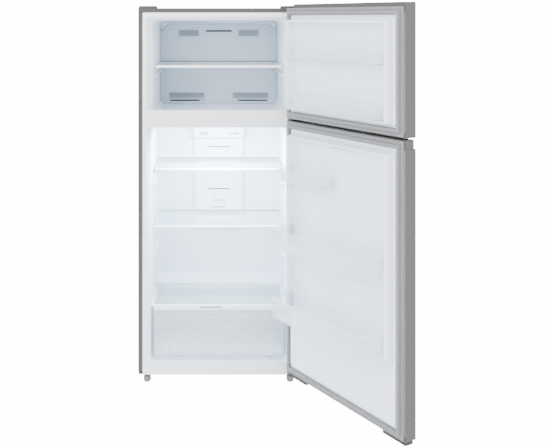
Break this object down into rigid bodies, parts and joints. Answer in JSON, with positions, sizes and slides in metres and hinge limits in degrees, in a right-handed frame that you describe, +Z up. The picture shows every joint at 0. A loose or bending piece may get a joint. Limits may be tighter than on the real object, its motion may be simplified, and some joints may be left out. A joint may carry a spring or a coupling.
{
  "type": "top freezer refrigerator",
  "caption": "Free-standing refrigerator with a freezer above a fresh food compartment, both doors hinged on the right and standing open, with shelves, a crisper drawer and door bins.",
  "frame": {"origin": "On the floor, in the middle of the space that the refrigerator takes as stored, with both doors open at 122 degrees", "axes": "+Z up, +X to the right when facing the open front, +Y from the front towards the back"},
  "size_m": [1.0593, 1.2636, 1.6455],
  "materials": {
    "silver_paint": "silver grey paint with a fine metallic sheen",
    "zinc_steel": "galvanised sheet, slightly dulled",
    "base_steel": "black painted pressed steel",
    "foam": "rigid polyurethane foam",
    "liner_white": "thermoformed white plastic, satin",
    "panel_white": "white enamelled strip",
    "compressor_black": "gloss black enamel",
    "copper_tube": "drawn copper, lightly tarnished",
    "black_plastic": "matt black moulding",
    "cover_grey": "cool white moulded panel",
    "fin_aluminium": "bare aluminium fins",
    "heater_steel": "steel sheathed heating element",
    "motor_steel": "zinc plated motor can",
    "duct_white": "fine textured white moulding",
    "lens": "frosted clear lens",
    "shelf_glass": "clear tempered glass",
    "trim_white": "glossy white moulding",
    "bin_clear": "clear moulded polystyrene with a blue tint",
    "hinge_steel": "zinc plated pressed steel",
    "cap_grey": "grey moulding matched to the doors",
    "cap_dark": "dark grey moulding",
    "screw_steel": "zinc plated screw heads",
    "gasket": "soft grey magnetic gasket",
    "foot_plastic": "black levelling foot",
    "roller_plastic": "black nylon roller",
    "switch_white": "white switch plunger"
  },
  "bodies": {
    "cabinet": {"cabinet_wrap": "silver_paint", "back_panel": "zinc_steel", "insulation": "foam", "freezer_liner": "liner_white", "fridge_liner": "liner_white", "mullion_cover": "panel_white", "lower_front_panel": "panel_white", "base_frame": "base_steel", "compressor_base": "zinc_steel", "compressor": "compressor_black", "condenser_coil": "copper_tube", "suction_pipe": "copper_tube", "drip_pan": "black_plastic", "rear_cover": "zinc_steel", "power_inlet": "black_plastic", "evaporator_cover": "cover_grey", "evaporator": "fin_aluminium", "defrost_heater": "heater_steel", "fan_motor": "motor_steel", "air_duct_cover": "duct_white", "control_housing": "duct_white", "lamp_lens": "lens", "crisper_cover_glass": "shelf_glass", "crisper_cover_frame": "trim_white", "top_hinge": "hinge_steel", "hinge_cover": "cap_grey", "hinge_hole_cap": "cap_grey", "middle_hinge": "hinge_steel", "bottom_hinge": "hinge_steel", "cabinet_screws": "screw_steel"},
    "fan": {"fan_blade": "black_plastic"},
    "humidity_control": {"humidity_slider": "trim_white"},
    "crisper": {"crisper_drawer": "bin_clear"},
    "shelf_upper": {"upper_shelf_glass": "shelf_glass", "upper_shelf_trim": "trim_white"},
    "shelf_lower": {"lower_shelf_glass": "shelf_glass", "lower_shelf_trim": "trim_white"},
    "shelf_freezer": {"freezer_shelf_glass": "shelf_glass", "freezer_shelf_trim": "trim_white"},
    "freezer_door": {"freezer_door_skin": "silver_paint", "freezer_door_caps": "cap_grey", "freezer_door_foam": "foam", "freezer_door_liner": "liner_white", "freezer_door_gasket": "gasket"},
    "fridge_door": {"fridge_door_skin": "silver_paint", "fridge_door_grip": "cap_grey", "fridge_door_bottom_cap": "cap_dark", "fridge_door_foam": "foam", "fridge_door_liner": "liner_white", "fridge_door_gasket": "gasket"},
    "bin_freezer_upper": {"freezer_bin_upper": "bin_clear"},
    "bin_freezer_lower": {"freezer_bin_lower": "bin_clear"},
    "bin_fridge_small": {"fridge_bin_small": "bin_clear"},
    "bin_fridge_middle": {"fridge_bin_middle": "bin_clear"},
    "bin_fridge_lower": {"fridge_bin_lower": "bin_clear"},
    "foot_left": {"front_foot_left": "foot_plastic"},
    "foot_right": {"front_foot_right": "foot_plastic"},
    "roller_left": {"rear_roller_left": "roller_plastic"},
    "roller_right": {"rear_roller_right": "roller_plastic"},
    "door_switch": {"door_switch_plunger": "switch_white"}
  },
  "joints": [
    {"name": "freezer_door_hinge", "type": "hinge", "parent": "cabinet", "child": "freezer_door", "pos_m": [0.14923, -0.03668, 1.63], "axis": [0, 0, 1], "range_deg": [-122, 10]},
    {"name": "fridge_door_hinge", "type": "hinge", "parent": "cabinet", "child": "fridge_door", "pos_m": [0.14923, -0.03668, 0.6], "axis": [0, 0, 1], "range_deg": [-122, 10]},
    {"name": "crisper_slide", "type": "slide", "parent": "cabinet", "child": "crisper", "axis": [0, -1, 0], "range_m": [0, 0.2]},
    {"name": "upper_shelf_slide", "type": "slide", "parent": "cabinet", "child": "shelf_upper", "axis": [0, -1, 0], "range_m": [0, 0.18]},
    {"name": "lower_shelf_slide", "type": "slide", "parent": "cabinet", "child": "shelf_lower", "axis": [0, -1, 0], "range_m": [0, 0.18]},
    {"name": "freezer_shelf_slide", "type": "slide", "parent": "cabinet", "child": "shelf_freezer", "axis": [0, -1, 0], "range_m": [0, 0.16]},
    {"name": "humidity_slide", "type": "slide", "parent": "cabinet", "child": "humidity_control", "axis": [-1, 0, 0], "range_m": [0, 0.095]},
    {"name": "freezer_bin_upper_lift", "type": "slide", "parent": "freezer_door", "child": "bin_freezer_upper", "axis": [0, 0, 1], "range_m": [0, 0.03]},
    {"name": "freezer_bin_lower_lift", "type": "slide", "parent": "freezer_door", "child": "bin_freezer_lower", "axis": [0, 0, 1], "range_m": [0, 0.03]},
    {"name": "fridge_bin_small_lift", "type": "slide", "parent": "fridge_door", "child": "bin_fridge_small", "axis": [0, 0, 1], "range_m": [0, 0.03]},
    {"name": "fridge_bin_middle_lift", "type": "slide", "parent": "fridge_door", "child": "bin_fridge_middle", "axis": [0, 0, 1], "range_m": [0, 0.03]},
    {"name": "fridge_bin_lower_lift", "type": "slide", "parent": "fridge_door", "child": "bin_fridge_lower", "axis": [0, 0, 1], "range_m": [0, 0.03]},
    {"name": "fan_spin", "type": "hinge", "parent": "cabinet", "child": "fan", "pos_m": [-0.18077, 0.52532, 1.47], "axis": [0, 1, 0], "continuous": true},
    {"name": "foot_left_turn", "type": "hinge", "parent": "cabinet", "child": "foot_left", "pos_m": [-0.49277, 0.03532, 0.015], "axis": [0, 0, 1], "continuous": true},
    {"name": "foot_right_turn", "type": "hinge", "parent": "cabinet", "child": "foot_right", "pos_m": [0.13123, 0.03532, 0.015], "axis": [0, 0, 1], "continuous": true},
    {"name": "roller_left_spin", "type": "hinge", "parent": "cabinet", "child": "roller_left", "pos_m": [-0.49677, 0.57032, 0.02], "axis": [1, 0, 0], "continuous": true},
    {"name": "roller_right_spin", "type": "hinge", "parent": "cabinet", "child": "roller_right", "pos_m": [0.13523, 0.57032, 0.02], "axis": [1, 0, 0], "continuous": true},
    {"name": "door_switch_press", "type": "slide", "parent": "cabinet", "child": "door_switch", "axis": [0, 1, 0], "range_m": [0, 0.004], "stiffness_N_per_m": 150}
  ]
}
